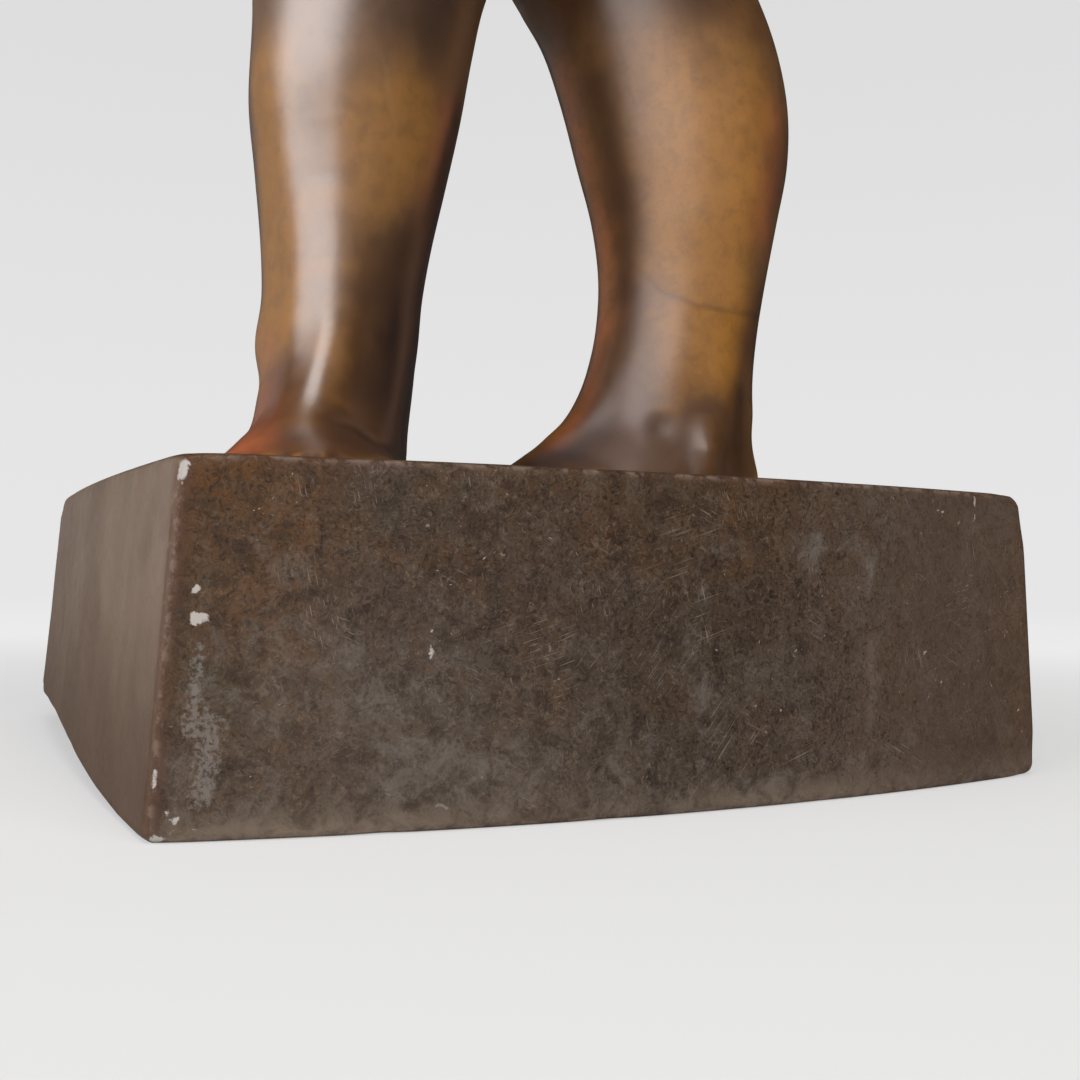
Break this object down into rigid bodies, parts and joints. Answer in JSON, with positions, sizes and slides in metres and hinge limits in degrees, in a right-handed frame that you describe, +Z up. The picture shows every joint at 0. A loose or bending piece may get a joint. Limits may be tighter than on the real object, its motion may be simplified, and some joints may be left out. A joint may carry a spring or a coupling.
{
  "type": "bronze statuette",
  "caption": "Bronze statuette of a striding barefoot figure in a short belted tunic, cast in pinned sections and bolted to a thick hollow block with bowed faces.",
  "frame": {"origin": "middle of the block's underside", "axes": "+Z up; the figure faces -Y and its left side is +X"},
  "size_m": [0.1792, 0.1726, 0.495],
  "materials": {
    "base_bronze": "dull dark brown patina with scratches and worn edges",
    "figure_bronze": "smooth satin brown patina with ochre patches",
    "steel": "plain zinc"
  },
  "bodies": {
    "root": {"base_casting": "base_bronze", "window_patch": "base_bronze", "base_core_plugs": "base_bronze", "foot_studs": "steel", "stud_washers": "steel", "stud_nuts": "steel", "left_leg": "figure_bronze", "right_leg": "figure_bronze", "hip_pins": "figure_bronze", "tunic_body": "figure_bronze", "body_core_plugs": "figure_bronze", "left_arm": "figure_bronze", "right_arm": "figure_bronze", "arm_pins": "figure_bronze", "head": "figure_bronze", "neck_pin": "figure_bronze"}
  },
  "joints": []
}
